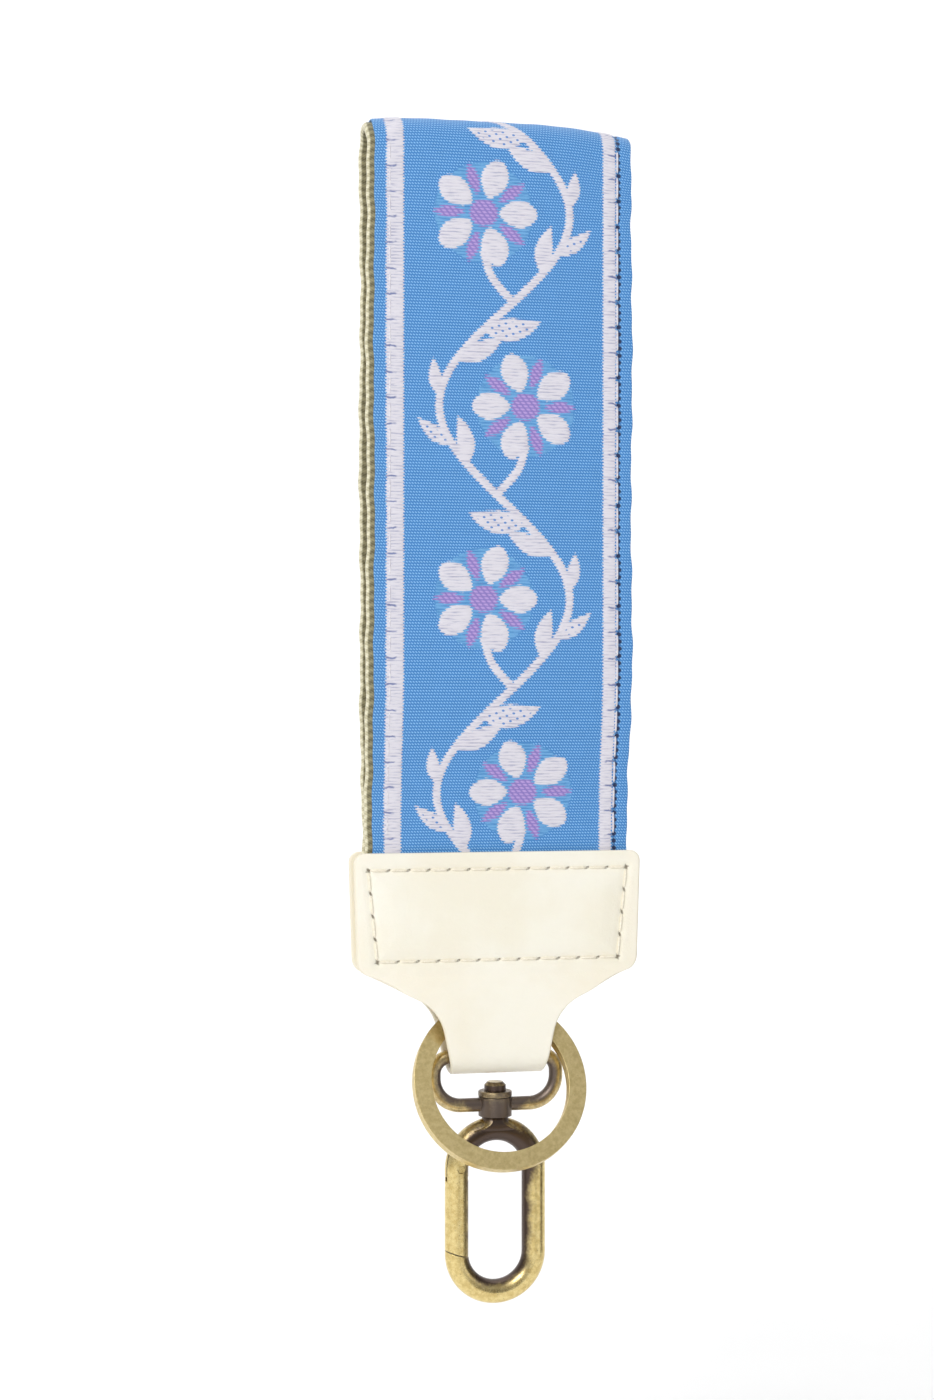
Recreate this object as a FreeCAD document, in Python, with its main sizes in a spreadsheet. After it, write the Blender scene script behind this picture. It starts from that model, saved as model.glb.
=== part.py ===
"""Wristlet keychain: a folded ribbon-and-webbing strap, a leather tab, a swivel snap hook and a split ring.

The strap hangs in the XZ plane. The origin is the inside top of the loop, +Z is up, and the front face
looks towards -Y. All sizes are in millimetres.
"""
import FreeCAD, Part
import math
import os

import Sketcher
from FreeCAD import Placement, Rotation, Vector

DOC = FreeCAD.newDocument("wristlet_keychain")
SHEET = DOC.addObject("Spreadsheet::Sheet", "Sizes")

DRIVING_SIZES = {
    # strap
    "webbing_width": 50.0,
    "webbing_shift": -0.3,
    "ribbon_width": 49.4,
    "ribbon_shift": 0.7,
    "webbing_thick": 1.6,
    "ribbon_thick": 0.6,
    "loop_half_gap": 3.0,
    "seam_half_gap": 0.1,
    "taper_top": 98.0,
    "taper_end": 132.0,
    "taper_radius": 100.4,
    "strap_end": 157.0,
    # leather tab
    "leather_thick": 1.2,
    "tab_top": 135.4,
    "tab_top_width": 55.2,
    "tab_low_width": 53.8,
    "tab_low": 157.2,
    "tab_waist": 164.8,
    "tab_waist_width": 22.8,
    "tab_foot_width": 17.8,
    "tab_top_round": 2.0,
    "tab_low_round": 3.0,
    "tab_waist_round": 9.0,
    "ply_spread_top": 158.0,
    "ply_spread_end": 161.5,
    "fold_radius": 3.2,
    "fold_centre": 172.9,
    # threads
    "thread_wide": 0.55,
    "thread_proud": 0.25,
    "ribbon_stitch_pitch": 4.8,
    "ribbon_stitch_long": 3.9,
    "ribbon_stitch_inset": 2.9,
    "tab_stitch_pitch": 3.9,
    "tab_stitch_long": 3.2,
    "tab_stitch_top": 138.6,
    "tab_stitch_low": 155.6,
    "tab_stitch_top_width": 49.6,
    "tab_stitch_low_width": 46.2,
    # swivel eye
    "eye_wire": 2.6,
    "eye_half_width": 11.8,
    "eye_bar": 174.05,
    "eye_low_wire": 183.3,
    "eye_top_round": 3.15,
    "eye_low_round": 5.2,
    "boss_radius": 3.15,
    "boss_top": 181.85,
    "boss_low": 185.4,
    # swivel post and washer
    "post_radius": 1.3,
    "running_gap": 0.05,
    "end_gap": 0.15,
    "washer_radius": 3.2,
    "washer_thick": 1.1,
    "rivet_radius": 2.05,
    "rivet_high": 1.7,
    "rivet_edge": 0.6,
    # hook
    "hook_wire": 4.45,
    "hook_radius": 7.43,
    "hook_top_centre": 195.3,
    "hook_low_centre": 211.2,
    "neck_radius": 2.45,
    "neck_flare": 5.0,
    "neck_low": 187.9,
    "neck_round": 2.6,
    "neck_depth_radius": 2.5,
    "neck_depth_centre": 186.9,
    "hinge_across": 6.9,
    "hinge_down": 195.0,
    "hinge_reach": 3.5,
    "hinge_clearance": 0.2,
    "tongue_thick": 1.5,
    "tongue_end": 196.6,
    "slot_wide": 1.9,
    "slot_end": 197.4,
    "pin_radius": 0.7,
    "pin_long": 4.0,
    "nose_down": 211.0,
    "nose_slope": 16.0,
    "nose_gap": 0.2,
    "spring_bore_radius": 1.0,
    "spring_bore_end": 208.0,
    "spring_radius": 0.68,
    "spring_wire": 0.3,
    "spring_turns": 8.0,
    "plunger_radius": 0.85,
    "plunger_long": 2.6,
    # split ring
    "ring_outer": 16.4,
    "ring_inner": 13.1,
    "ring_turn_thick": 1.15,
    "ring_turn_gap": 0.08,
    "ring_shift": -0.25,
    "ring_forward": 5.0,
    "ring_centre": 178.6,
    "ring_tilt": 24.0,
    "ring_step_angle": 22.0,
    "ring_step_at": 146.0,
}

# These are no sizes of the object: they only make each cutting shape reach past what it cuts.
PAST_CUT = 3.0
CUT_BLOCK = 20.0
NOSE_BLOCK = 8.0
# The ribbon's stitches stand this far off the bend of its face.
STITCH_LIFT = 0.02


class Size:
    """A length from the sheet, or a sum made of such lengths, with its expression and its value."""

    def __init__(self, text, value):
        self.text = text
        self.value = value

    def joined(self, sign, other, value):
        text = other.text if isinstance(other, Size) else repr(float(other))
        return Size("(" + self.text + sign + text + ")", value)

    def __add__(self, other):
        return self.joined(" + ", other, self.value + plain(other))

    def __sub__(self, other):
        return self.joined(" - ", other, self.value - plain(other))

    def __mul__(self, other):
        return self.joined(" * ", other, self.value * plain(other))

    def __neg__(self):
        return Size("(0 - " + self.text + ")", -self.value)


def plain(length):
    """The number behind a Size, or the number itself."""
    return length.value if isinstance(length, Size) else float(length)


def size(alias):
    """The sheet's cell with this alias, as a Size."""
    return Size("Sizes." + alias, DRIVING_SIZES[alias])


ZERO = Size("0", 0.0)
HALF_CIRCLE_CHORD = 1.999
NODES = []


def fill_sheet():
    """Write every driving size to the sheet, one row each, with its alias."""
    for row, (alias, value) in enumerate(DRIVING_SIZES.items(), start=1):
        SHEET.set("A%d" % row, alias)
        SHEET.set("B%d" % row, "%g" % value)
        SHEET.setAlias("B%d" % row, alias)
    DOC.recompute()


def bind(thing, prop, length):
    """Set a property from a Size and keep it bound to the sheet."""
    if isinstance(length, Size):
        thing.setExpression(prop, length.text)
    else:
        setattr(thing, prop, length)


def place(thing, where=(0, 0, 0), turn_axis=(0, 0, 1), turn=0.0):
    """Turn a thing about an axis through its own origin, then move that origin to a bound place."""
    thing.Placement = Placement(Vector(*[plain(c) for c in where]), Rotation(Vector(*turn_axis), turn))
    for letter, coordinate in zip("xyz", where):
        if isinstance(coordinate, Size):
            thing.setExpression("Placement.Base." + letter, coordinate.text)


def solid(kind, name, where=(0, 0, 0), turn_axis=(0, 0, 1), turn=0.0, **sizes):
    """A Part primitive with bound sizes and a bound place."""
    thing = DOC.addObject("Part::" + kind, name)
    for prop, length in sizes.items():
        bind(thing, prop, length)
    place(thing, where, turn_axis, turn)
    return thing


def combine(kind, name, base, tool):
    """A two-part boolean: Cut, Fuse or Common."""
    thing = DOC.addObject("Part::" + kind, name)
    thing.Base = base
    thing.Tool = tool
    return thing


def fuse_all(name, shapes):
    """One union of several objects."""
    thing = DOC.addObject("Part::MultiFuse", name)
    thing.Shapes = shapes
    thing.Refine = True
    return thing


def node(thing, label):
    """Keep this object as a finished sub-part under this name."""
    thing.Label = label
    NODES.append(thing)
    return thing


def new_body(name):
    return DOC.addObject("PartDesign::Body", name)


def origin_plane(body, role):
    return next(f for f in body.Origin.OriginFeatures if f.Role == role)


def arc_between(start, end, radius, clockwise):
    """The minor arc from start to end; a clockwise arc is stored from its end to its start."""
    if clockwise:
        start, end = end, start
    middle = (start + end) * 0.5
    half = (end - start) * 0.5
    rise = math.sqrt(max(radius * radius - half.Length ** 2, 0.0))
    side = Vector(-half.y, half.x, 0).normalize()
    centre = middle + side * rise
    first = math.atan2(start.y - centre.y, start.x - centre.x)
    last = math.atan2(end.y - centre.y, end.x - centre.x)
    if last < first:
        last += 2 * math.pi
    return Part.ArcOfCircle(Part.Circle(centre, Vector(0, 0, 1), radius), first, last)


def outline(body, name, plane, corners, arcs=None):
    """A closed sketch through corners, each bound to the sheet; arcs maps an edge to (radius, clockwise)."""
    arcs = arcs or {}
    sketch = body.newObject("Sketcher::SketchObject", name)
    sketch.AttachmentSupport = [(origin_plane(body, plane), "")]
    sketch.MapMode = "FlatFace"
    points = [Vector(plain(x), plain(y), 0) for x, y in corners]
    count = len(points)
    ends = []
    for edge in range(count):
        start = points[edge]
        end = points[(edge + 1) % count]
        if edge in arcs:
            radius, clockwise = arcs[edge]
            sketch.addGeometry(arc_between(start, end, plain(radius), clockwise), False)
            ends.append((2, 1) if clockwise else (1, 2))
        else:
            sketch.addGeometry(Part.LineSegment(start, end), False)
            ends.append((1, 2))
    for edge in range(count):
        after = (edge + 1) % count
        sketch.addConstraint(Sketcher.Constraint("Coincident", edge, ends[edge][1], after, ends[after][0]))
    for edge, (x, y) in enumerate(corners):
        for kind, length in (("DistanceX", x), ("DistanceY", y)):
            spot = sketch.addConstraint(Sketcher.Constraint(kind, -1, 1, edge, ends[edge][0], plain(length)))
            sketch.setExpression("Constraints[%d]" % spot, length.text)
    for edge, (radius, clockwise) in arcs.items():
        chord = (points[(edge + 1) % count] - points[edge]).Length
        # A half circle's radius follows from its two ends, so its centre's level is held instead.
        if chord > HALF_CIRCLE_CHORD * plain(radius):
            level = corners[edge][1]
            spot = sketch.addConstraint(Sketcher.Constraint("DistanceY", -1, 1, edge, 3, plain(level)))
            sketch.setExpression("Constraints[%d]" % spot, level.text)
        else:
            spot = sketch.addConstraint(Sketcher.Constraint("Radius", edge, plain(radius)))
            sketch.setExpression("Constraints[%d]" % spot, radius.text)
    return sketch


def pad_both_ways(body, name, sketch, length):
    """A pad centred on its sketch's plane."""
    pad = body.newObject("PartDesign::Pad", name)
    pad.Profile = sketch
    pad.SideType = "Symmetric"
    bind(pad, "Length", length)
    return pad


def turned_body(name, profile, arcs=None):
    """A body turned about the Z axis from a closed outline in the XZ plane."""
    body = new_body(name)
    sketch = outline(body, name + "_profile", "XZ_Plane", profile, arcs)
    turning = body.newObject("PartDesign::Revolution", name + "_turning")
    turning.Profile = sketch
    turning.ReferenceAxis = (sketch, ["V_Axis"])
    turning.Angle = 360.0
    DOC.recompute()
    return body


def round_edges(body, name, radius, chosen):
    """Fillet the edges of the body's tip whose middle point passes the chosen test."""
    DOC.recompute()
    tip = body.Tip
    names = []
    for number, edge in enumerate(tip.Shape.Edges, start=1):
        if chosen(edge):
            names.append("Edge%d" % number)
    fillet = body.newObject("PartDesign::Fillet", name)
    fillet.Base = (tip, names)
    bind(fillet, "Radius", radius)
    DOC.recompute()
    return fillet


def runs_along_y(edge):
    direction = edge.Vertexes[-1].Point - edge.Vertexes[0].Point
    return direction.Length > 1e-6 and abs(direction.y) > 0.999 * direction.Length


# --- strap ---------------------------------------------------------------------------------------

def strap_skin(name, inner_offset, outer_offset, width, shift):
    """One layer of the folded strap: from inner_offset to outer_offset outside the loop's inner face."""
    gap = size("loop_half_gap")
    seam = size("seam_half_gap")
    radius = size("taper_radius")
    middle = (gap + seam) * 0.5
    top = -size("taper_top")
    low = -size("taper_end")
    half_way = (size("taper_top") + size("taper_end")) * -0.5
    end = -size("strap_end")
    fold = -gap

    body = new_body(name)
    corners = [
        (gap + outer_offset, fold), (-(gap + outer_offset), fold),
        (-(gap + outer_offset), top), (-(middle + outer_offset), half_way), (-(seam + outer_offset), low),
        (-(seam + outer_offset), end), (-(seam + inner_offset), end),
        (-(seam + inner_offset), low), (-(middle + inner_offset), half_way), (-(gap + inner_offset), top),
        (-(gap + inner_offset), fold), (gap + inner_offset, fold),
        (gap + inner_offset, top), (middle + inner_offset, half_way), (seam + inner_offset, low),
        (seam + inner_offset, end), (seam + outer_offset, end),
        (seam + outer_offset, low), (middle + outer_offset, half_way), (gap + outer_offset, top),
    ]
    arcs = {
        0: (gap + outer_offset, False),
        2: (radius + outer_offset, False), 3: (radius - outer_offset, True),
        7: (radius - inner_offset, False), 8: (radius + inner_offset, True),
        10: (gap + inner_offset, True),
        12: (radius + inner_offset, True), 13: (radius - inner_offset, False),
        17: (radius - outer_offset, True), 18: (radius + outer_offset, False),
    }
    sketch = outline(body, name + "_profile", "YZ_Plane", corners, arcs)
    pad_both_ways(body, name + "_pad", sketch, width)
    place(body, (shift, 0, 0))
    return body


def backing_webbing():
    layer = strap_skin("Webbing", ZERO, size("webbing_thick"), size("webbing_width"), size("webbing_shift"))
    node(layer, "backing_webbing")


def jacquard_ribbon():
    webbing = size("webbing_thick")
    outer = webbing + size("ribbon_thick")
    node(strap_skin("Ribbon", webbing, outer, size("ribbon_width"), size("ribbon_shift")), "jacquard_ribbon")


def ribbon_face_at(down):
    """Distance of the ribbon's outer face from the middle plane at this depth, and its lean in degrees."""
    skin = plain(size("webbing_thick")) + plain(size("ribbon_thick"))
    wide = plain(size("loop_half_gap"))
    narrow = plain(size("seam_half_gap"))
    start = plain(size("taper_top"))
    end = plain(size("taper_end"))
    radius = plain(size("taper_radius"))
    if down <= start:
        return wide + skin, 0.0
    if down >= end:
        return narrow + skin, 0.0
    into = min(down - start, end - down)
    drop = radius - math.sqrt(radius * radius - into * into)
    lean = math.degrees(math.asin(into / radius))
    face = wide - drop if down - start < end - down else narrow + drop
    return face + skin, lean


def ribbon_stitching(name, side):
    """One seam of lockstitches down the ribbon's edge, on the front and the back of the strap."""
    wide = plain(size("thread_wide"))
    proud = plain(size("thread_proud"))
    long = plain(size("ribbon_stitch_long"))
    pitch = plain(size("ribbon_stitch_pitch"))
    inset = plain(size("ribbon_width")) / 2 - plain(size("ribbon_stitch_inset"))
    across = plain(size("ribbon_shift")) + side * inset
    last = plain(size("tab_top")) - pitch
    stitches = []
    for face_side in (-1, 1):
        down = plain(size("loop_half_gap")) + pitch / 2
        while down < last:
            face, lean = ribbon_face_at(down)
            stitch = Part.makeBox(wide, proud, long, Vector(-wide / 2, STITCH_LIFT, -long / 2))
            if face_side < 0:
                stitch = stitch.mirror(Vector(0, 0, 0), Vector(0, 1, 0))
            stitch.rotate(Vector(0, 0, 0), Vector(1, 0, 0), -face_side * lean)
            stitch.translate(Vector(across, face_side * face, -down))
            stitches.append(stitch)
            down += pitch
    seam = DOC.addObject("Part::Feature", name)
    seam.Shape = Part.makeCompound(stitches)
    node(seam, name)


# --- leather tab ---------------------------------------------------------------------------------

def leather_tab():
    """One piece of leather folded round the eye's bar, both plies cut to the same waisted outline."""
    skin = size("seam_half_gap") + size("webbing_thick") + size("ribbon_thick")
    thick = size("leather_thick")
    fold = size("fold_radius")
    top = -size("tab_top")
    spread = -size("ply_spread_top")
    wide = -size("ply_spread_end")
    centre = -size("fold_centre")
    body = new_body("Leather")
    corners = [
        (skin, top), (skin, spread), (fold, wide), (fold, centre), (-fold, centre), (-fold, wide),
        (-skin, spread), (-skin, top), (-(skin + thick), top), (-(skin + thick), spread),
        (-(fold + thick), wide), (-(fold + thick), centre), (fold + thick, centre), (fold + thick, wide),
        (skin + thick, spread), (skin + thick, top),
    ]
    arcs = {3: (fold, True), 11: (fold + thick, False)}
    sketch = outline(body, "Leather_fold", "YZ_Plane", corners, arcs)
    pad_both_ways(body, "Leather_blank", sketch, size("tab_top_width"))
    DOC.recompute()
    blank_volume = body.Shape.Volume

    half_top = size("tab_top_width") * 0.5
    half_low = size("tab_low_width") * 0.5
    half_waist = size("tab_waist_width") * 0.5
    half_foot = size("tab_foot_width") * 0.5
    low = -size("tab_low")
    waist = -size("tab_waist")
    foot = -(size("fold_centre") + fold + thick)
    outside = half_top + PAST_CUT
    below = foot - PAST_CUT
    for side, sign in (("right", 1.0), ("left", -1.0)):
        waste = [
            (half_top * sign, top), (half_low * sign, low), (half_waist * sign, waist),
            (half_foot * sign, foot), (half_foot * sign, below), (outside * sign, below),
            (outside * sign, top),
        ]
        trim = outline(body, "Leather_waste_" + side, "XZ_Plane", waste)
        pocket = body.newObject("PartDesign::Pocket", "Leather_cut_" + side)
        pocket.Profile = trim
        pocket.SideType = "Symmetric"
        pocket.Length = CUT_BLOCK
    DOC.recompute()
    if body.Shape.Volume > 0.9 * blank_volume:
        raise RuntimeError("the leather outline was not cut")

    def at_height(height):
        return lambda edge: runs_along_y(edge) and abs(edge.CenterOfMass.z - height.value) < 0.05

    round_edges(body, "Leather_waist_round", size("tab_waist_round"), at_height(waist))
    round_edges(body, "Leather_low_round", size("tab_low_round"), at_height(low))
    round_edges(body, "Leather_top_round", size("tab_top_round"), at_height(top))
    node(body, "leather_tab")


def stations(start, end, pitch):
    """Middles of stitches laid evenly between two points, as points and the run's direction."""
    run = end - start
    count = max(1, round(run.Length / pitch))
    step = run * (1.0 / count)
    return [(start + step * (number + 0.5), run) for number in range(count)]


def leather_stitching():
    """The stitched frame on the wide part of the tab, on both plies."""
    wide = plain(size("thread_wide"))
    proud = plain(size("thread_proud"))
    long = plain(size("tab_stitch_long"))
    skin = plain(size("seam_half_gap")) + plain(size("webbing_thick")) + plain(size("ribbon_thick"))
    face = skin + plain(size("leather_thick"))
    top = -plain(size("tab_stitch_top"))
    low = -plain(size("tab_stitch_low"))
    half_top = plain(size("tab_stitch_top_width")) / 2
    half_low = plain(size("tab_stitch_low_width")) / 2
    frame = [
        Vector(-half_top, 0, top), Vector(half_top, 0, top),
        Vector(half_low, 0, low), Vector(-half_low, 0, low),
    ]
    stitches = []
    for corner in range(4):
        start = frame[corner]
        end = frame[(corner + 1) % 4]
        for middle, run in stations(start, end, plain(size("tab_stitch_pitch"))):
            turn = math.degrees(math.atan2(run.z, run.x))
            for face_side in (-1, 1):
                near = 0.0 if face_side > 0 else -proud
                stitch = Part.makeBox(long, proud, wide, Vector(-long / 2, near, -wide / 2))
                stitch.rotate(Vector(0, 0, 0), Vector(0, 1, 0), -turn)
                stitch.translate(middle + Vector(0, face_side * face, 0))
                stitches.append(stitch)
    seam = DOC.addObject("Part::Feature", "leather_stitching")
    seam.Shape = Part.makeCompound(stitches)
    node(seam, "leather_stitching")


# --- swivel eye ----------------------------------------------------------------------------------

def corner_ring(name, centre_x, centre_z, ring, wire, first_quarter):
    """A quarter of a torus in the XZ plane; quarters count from +X towards +Z."""
    quarter = solid("Torus", name, Radius1=ring, Radius2=wire, Angle3=90.0)
    turn = Rotation(Vector(0, 1, 0), -90.0 * first_quarter) * Rotation(Vector(1, 0, 0), 90.0)
    quarter.Placement = Placement(Vector(plain(centre_x), 0, plain(centre_z)), turn)
    quarter.setExpression("Placement.Base.x", centre_x.text)
    quarter.setExpression("Placement.Base.z", centre_z.text)
    return quarter


def swivel_eye():
    """A D-shaped wire eye with a bored boss in the middle of its lower wire."""
    wire = size("eye_wire") * 0.5
    half = size("eye_half_width")
    bar = -size("eye_bar")
    low = -size("eye_low_wire")
    top_round = size("eye_top_round")
    low_round = size("eye_low_round")
    side_long = size("eye_low_wire") - size("eye_bar") - top_round - low_round
    pieces = [
        solid("Cylinder", "Eye_bar", (top_round - half, ZERO, bar), (0, 1, 0), 90.0,
              Radius=wire, Height=(half - top_round) * 2.0),
        solid("Cylinder", "Eye_low", (low_round - half, ZERO, low), (0, 1, 0), 90.0,
              Radius=wire, Height=(half - low_round) * 2.0),
    ]
    for side, sign, top_quarter, low_quarter in (("right", 1.0, 0, 3), ("left", -1.0, 1, 2)):
        pieces.append(corner_ring("Eye_top_" + side, (half - top_round) * sign, bar - top_round,
                                  top_round, wire, top_quarter))
        pieces.append(corner_ring("Eye_low_" + side, (half - low_round) * sign, low + low_round,
                                  low_round, wire, low_quarter))
        pieces.append(solid("Cylinder", "Eye_side_" + side, (half * sign, ZERO, low + low_round),
                            Radius=wire, Height=side_long))
    boss_high = size("boss_low") - size("boss_top")
    pieces.append(solid("Cylinder", "Eye_boss", (ZERO, ZERO, -size("boss_low")),
                        Radius=size("boss_radius"), Height=boss_high))
    whole = fuse_all("Eye_whole", pieces)
    whole.Refine = False
    bore = solid("Cylinder", "Eye_bore", (ZERO, ZERO, -(size("boss_low") + PAST_CUT)),
                 Radius=size("post_radius") + size("running_gap"), Height=boss_high + 2 * PAST_CUT)
    node(combine("Cut", "Eye", whole, bore), "swivel_eye")


def swivel_washer():
    """The washer under the riveted head, free to turn on the post."""
    bore = size("post_radius") + size("running_gap")
    outer = size("washer_radius")
    low = -(size("boss_top") - size("running_gap"))
    high = low + size("washer_thick")
    body = turned_body("Washer", [(bore, low), (outer, low), (outer, high), (bore, high)])
    round_edges(body, "Washer_round", size("washer_thick") * 0.25,
                lambda edge: abs(edge.Curve.Radius - outer.value) < 1e-3 if edge.Closed else False)
    node(body, "swivel_washer")


# --- hook ----------------------------------------------------------------------------------------

def half_ring(name, centre_z, upper):
    """Half a torus of the hook's wire in the XZ plane."""
    return solid("Torus", name, (ZERO, ZERO, centre_z), (1, 0, 0), 90.0 if upper else -90.0,
                 Radius1=size("hook_radius"), Radius2=size("hook_wire") * 0.5, Angle3=180.0)


def leg(name, across, bottom, top):
    """A straight upright length of the hook's wire."""
    return solid("Cylinder", name, (across, ZERO, bottom),
                 Radius=size("hook_wire") * 0.5, Height=top - bottom)


def hinge_disc(name, radius, near, far):
    """A cylinder about the hinge pin's axis, from y = near to y = far."""
    return solid("Cylinder", name, (-size("hinge_across"), far, -size("hinge_down")), (1, 0, 0), 90.0,
                 Radius=radius, Height=far - near)


def nose_block(name, shift, above):
    """A block on one side of the sloping nose cut, shifted down along the cut's normal."""
    slope = plain(size("nose_slope"))
    block = DOC.addObject("Part::Box", name)
    block.Length = NOSE_BLOCK
    block.Width = NOSE_BLOCK
    block.Height = NOSE_BLOCK
    local = Vector(-NOSE_BLOCK / 2, -NOSE_BLOCK / 2, 0.0 if above else -NOSE_BLOCK)
    turn = Rotation(Vector(0, 1, 0), slope)
    normal = turn.multVec(Vector(0, 0, 1))
    cut_point = Vector(-plain(size("hook_radius")), 0, -plain(size("nose_down")))
    block.Placement = Placement(cut_point - normal * shift + turn.multVec(local), turn)
    return block


def hook_neck(top):
    """The flared neck that blends the hook's round top into its post, no deeper than a cast lobe."""
    low = -size("neck_low")
    flare = turned_body("Hook_flare", [
        (ZERO, low), (size("neck_flare"), low), (size("neck_radius"), top), (ZERO, top),
    ], {1: (size("neck_round"), True)})
    lobe = solid("Cylinder", "Hook_lobe", (-size("neck_flare"), ZERO, -size("neck_depth_centre")),
                 (0, 1, 0), 90.0, Radius=size("neck_depth_radius"), Height=size("neck_flare") * 2.0)
    return combine("Common", "Hook_neck", flare, lobe)


def hook_body():
    """The oval hook with its neck, swivel post and riveted head, and the tongue that the gate hinges on."""
    radius = size("hook_radius")
    top = -size("hook_top_centre")
    low = -size("hook_low_centre")
    tongue_half = size("tongue_thick") * 0.5
    relief = size("hinge_reach") + size("hinge_clearance")
    wire = fuse_all("Hook_wire", [
        half_ring("Hook_top", top, True),
        half_ring("Hook_low", low, False),
        leg("Hook_right_leg", radius, low, top),
        leg("Hook_tongue_leg", -radius, -size("tongue_end"), top),
        leg("Hook_nose_leg", -radius, low, low + PAST_CUT),
    ])
    far = size("hook_wire")
    cheeks = fuse_all("Hook_cheeks", [
        hinge_disc("Hook_front_cheek", relief, -far, -tongue_half),
        hinge_disc("Hook_back_cheek", relief, tongue_half, far),
        hinge_disc("Hook_pin_hole", size("pin_radius"), -far, far),
        nose_block("Hook_nose_cut", plain(size("nose_gap")), True),
    ])
    bare = combine("Cut", "Hook_bare", wire, cheeks)

    post = size("post_radius")
    neck_top = -(size("boss_low") + size("end_gap"))
    washer_top = -(size("boss_top") - size("running_gap") - size("washer_thick"))
    rivet_top = washer_top + size("rivet_high")
    rivet_edge = size("rivet_edge")
    rivet = size("rivet_radius")
    stem = turned_body("Hook_stem", [
        (ZERO, top + radius), (post, top + radius), (post, washer_top), (rivet, washer_top),
        (rivet, rivet_top - rivet_edge), (rivet - rivet_edge, rivet_top), (ZERO, rivet_top),
    ])
    node(fuse_all("Hook", [bare, hook_neck(neck_top), stem]), "hook_body")


def gate():
    """The sprung gate: a forked leg of the hook's wire with a rounded hinge end and a sloping nose."""
    radius = size("hook_radius")
    top = -size("hook_top_centre")
    reach = size("hinge_reach")
    across = -size("hinge_across")
    down = -size("hinge_down")
    far = size("hook_wire")
    wire = fuse_all("Gate_wire", [
        corner_ring("Gate_bend", ZERO, top, radius, size("hook_wire") * 0.5, 1),
        leg("Gate_leg", -radius, -(size("nose_down") + PAST_CUT), top),
    ])
    keep = fuse_all("Gate_keep", [
        hinge_disc("Gate_round_end", reach, -far, far),
        solid("Box", "Gate_keep_low", (across - CUT_BLOCK / 2, ZERO - CUT_BLOCK / 2, down - CUT_BLOCK),
              Length=CUT_BLOCK, Width=CUT_BLOCK, Height=CUT_BLOCK),
    ])
    blank = combine("Common", "Gate_blank", wire, keep)
    slot_half = size("slot_wide") * 0.5
    slot = solid("Box", "Gate_slot", (across - CUT_BLOCK / 2, -slot_half, -size("slot_end")),
                 Length=CUT_BLOCK, Width=size("slot_wide"), Height=CUT_BLOCK)
    bore_long = size("spring_bore_end") - size("slot_end") + size("running_gap")
    bore = solid("Cylinder", "Gate_bore", (-radius, ZERO, -size("spring_bore_end")),
                 Radius=size("spring_bore_radius"), Height=bore_long)
    cuts = fuse_all("Gate_cuts", [
        slot,
        bore,
        hinge_disc("Gate_pin_hole", size("pin_radius") + size("running_gap"), -far, far),
        nose_block("Gate_nose_cut", 0.0, False),
    ])
    node(combine("Cut", "Gate", blank, cuts), "gate")


def gate_pin():
    half = size("pin_long") * 0.5
    node(hinge_disc("Gate_pin", size("pin_radius"), -half, half), "gate_pin")


def gate_plunger():
    """The follower that the spring holds against the flat end of the hook's tongue."""
    top = -(size("tongue_end") + size("running_gap"))
    radius = size("plunger_radius")
    body = solid("Cylinder", "Gate_plunger", (-size("hook_radius"), ZERO, top - size("plunger_long")),
                 Radius=radius, Height=size("plunger_long"))
    node(body, "gate_plunger")


def gate_spring():
    """A coil spring between the bore's end and the plunger."""
    wire = plain(size("spring_wire")) / 2
    gap = plain(size("running_gap"))
    low = gap + wire - plain(size("spring_bore_end"))
    high = -(plain(size("tongue_end")) + gap + plain(size("plunger_long")) + gap + wire)
    pitch = (high - low) / plain(size("spring_turns"))
    ring = plain(size("spring_radius"))
    coil = Part.makeHelix(pitch, high - low, ring)
    section = Part.Wire(Part.makeCircle(wire, Vector(ring, 0, 0), Vector(0, 1, 0)))
    thread = Part.Wire(coil).makePipeShell([section], True, True)
    thread.translate(Vector(-plain(size("hook_radius")), 0, low))
    spring = DOC.addObject("Part::Feature", "Gate_spring")
    spring.Shape = thread
    node(spring, "gate_spring")


# --- split ring ----------------------------------------------------------------------------------

def ring_turn(name, height, opening):
    """One flat turn of the ring's wire, left open over the step."""
    thick = size("ring_turn_thick")
    disc = solid("Cylinder", name + "_disc", (ZERO, ZERO, height),
                 Radius=size("ring_outer"), Height=thick, Angle=360.0 - opening)
    hole = solid("Cylinder", name + "_hole", (ZERO, ZERO, height - PAST_CUT),
                 Radius=size("ring_inner"), Height=thick + 2 * PAST_CUT)
    return combine("Cut", name, disc, hole)


def ring_step(opening, pitch):
    """The sloping length of wire that climbs from the lower turn to the upper one."""
    thick = plain(size("ring_turn_thick"))
    inner = plain(size("ring_inner"))
    outer = plain(size("ring_outer"))
    slope = Part.makeHelix(plain(pitch) * 360.0 / opening, plain(pitch), outer)
    corners = [Vector(inner, 0, 0), Vector(outer, 0, 0), Vector(outer, 0, thick), Vector(inner, 0, thick)]
    section = Part.makePolygon(corners + corners[:1])
    step = DOC.addObject("Part::Feature", "Ring_step")
    step.Shape = Part.Wire(slope).makePipeShell([section], True, True)
    step.Placement = Placement(Vector(0, 0, 0), Rotation(Vector(0, 0, 1), -opening))
    return step


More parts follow.
